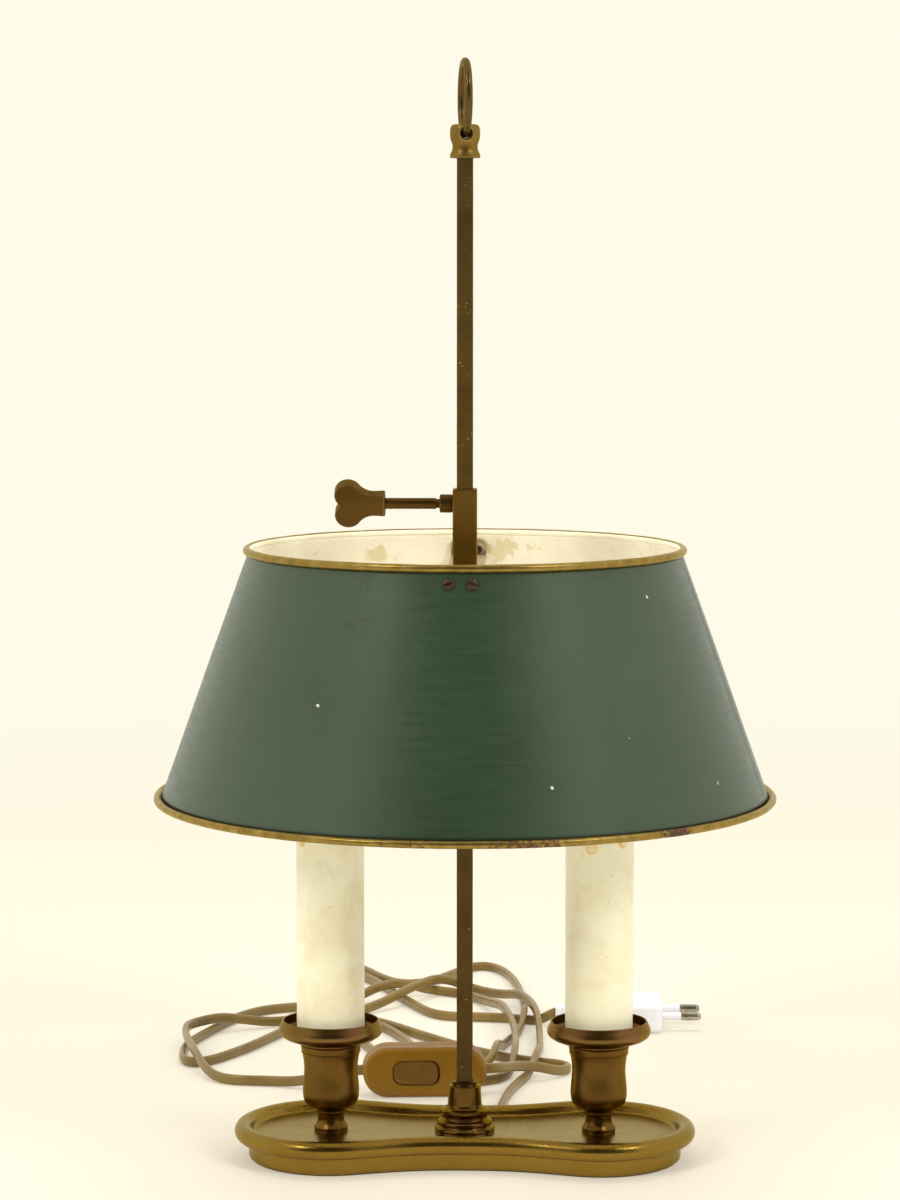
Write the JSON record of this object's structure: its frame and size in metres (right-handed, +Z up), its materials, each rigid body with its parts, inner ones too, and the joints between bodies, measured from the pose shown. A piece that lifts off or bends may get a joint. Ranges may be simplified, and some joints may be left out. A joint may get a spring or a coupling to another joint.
{
  "type": "bouillotte table lamp",
  "caption": "Bouillotte lamp: sham candles on a waisted brass tray, square column with ring finial, green painted shade sliding on a thumbscrew sleeve, with flex, switch and plug.",
  "frame": {"origin": "on the floor under the middle of the square column", "axes": "+Z up the column, +X towards the right candle, -Y towards the viewer"},
  "size_m": [0.2651, 0.5216, 0.4521],
  "materials": {
    "felt": "matte",
    "tray_brass": "satin, aged",
    "dark_brass": "satin, browned",
    "pan_brass": "satin, browned",
    "bright_brass": "satin",
    "rim_gilt": "satin, worn",
    "plain_steel": "plain",
    "stem_brass": "plain",
    "holder_black": "matte",
    "candle_ivory": "satin",
    "bulb_glass": "frosted",
    "bulb_cap": "plain",
    "gland_rubber": "matte",
    "block_plastic": "matte",
    "flex_gold": "gloss",
    "switch_shell": "gloss",
    "rocker_brown": "gloss",
    "plug_white": "satin",
    "pin_metal": "plain",
    "shade_paint": "satin, worn",
    "browned_screw": "aged"
  },
  "bodies": {
    "stand": {"felt_pad": "felt", "base_tray": "tray_brass", "column_boss": "dark_brass", "rod": "dark_brass", "rod_washer": "plain_steel", "rod_nut": "plain_steel", "finial": "bright_brass", "left_cup": "dark_brass", "right_cup": "dark_brass", "left_drip_pan": "pan_brass", "right_drip_pan": "pan_brass", "left_stem": "stem_brass", "right_stem": "stem_brass", "stem_nuts": "plain_steel", "left_lampholder": "holder_black", "right_lampholder": "holder_black", "left_candle": "candle_ivory", "right_candle": "candle_ivory", "left_bulb_glass": "bulb_glass", "right_bulb_glass": "bulb_glass", "left_bulb_cap": "bulb_cap", "right_bulb_cap": "bulb_cap", "cord_gland": "gland_rubber", "joint_block": "block_plastic", "lamp_leads": "block_plastic", "cord_to_switch": "flex_gold", "cord_to_plug": "flex_gold", "switch_rear_shell": "switch_shell", "switch_front_shell": "switch_shell", "switch_screws": "plain_steel", "plug_body": "plug_white", "plug_pins": "pin_metal"},
    "carriage": {"sleeve": "bright_brass", "key_collar": "dark_brass", "shade_bracket": "dark_brass", "shade_shell": "shade_paint", "shade_top_rim": "rim_gilt", "shade_bottom_rim": "rim_gilt", "shade_screws": "browned_screw", "shade_nuts": "browned_screw"},
    "shoe": {"pressure_shoe": "bright_brass"},
    "key": {"key_shaft": "dark_brass", "key_head": "dark_brass"},
    "ring": {"finial_ring": "bright_brass"},
    "rocker": {"switch_rocker": "rocker_brown"}
  },
  "joints": [
    {"name": "shade_slide", "type": "slide", "parent": "stand", "child": "carriage", "axis": [0, 0, 1], "range_m": [-0.035, 0.13]},
    {"name": "shoe_travel", "type": "slide", "parent": "carriage", "child": "shoe", "axis": [-1, 0, 0], "range_m": [0, 0.0014]},
    {"name": "key_turn", "type": "hinge", "parent": "shoe", "child": "key", "pos_m": [-0.043, 0, 0.2717], "axis": [-1, 0, 0], "range_deg": [0, 720]},
    {"name": "ring_swing", "type": "hinge", "parent": "stand", "child": "ring", "pos_m": [0, 0, 0.4215], "axis": [-0.1219, 0.9925, 0], "range_deg": [-85, 85]},
    {"name": "rocker_tip", "type": "hinge", "parent": "stand", "child": "rocker", "pos_m": [-0.02367, 0.10713, 0.0112], "axis": [0, 0, 1], "range_deg": [0, 10]}
  ],
  "couplings": [
    {"joint": "key_turn", "follows": "shoe_travel", "rad_per_m": 8975.9}
  ]
}
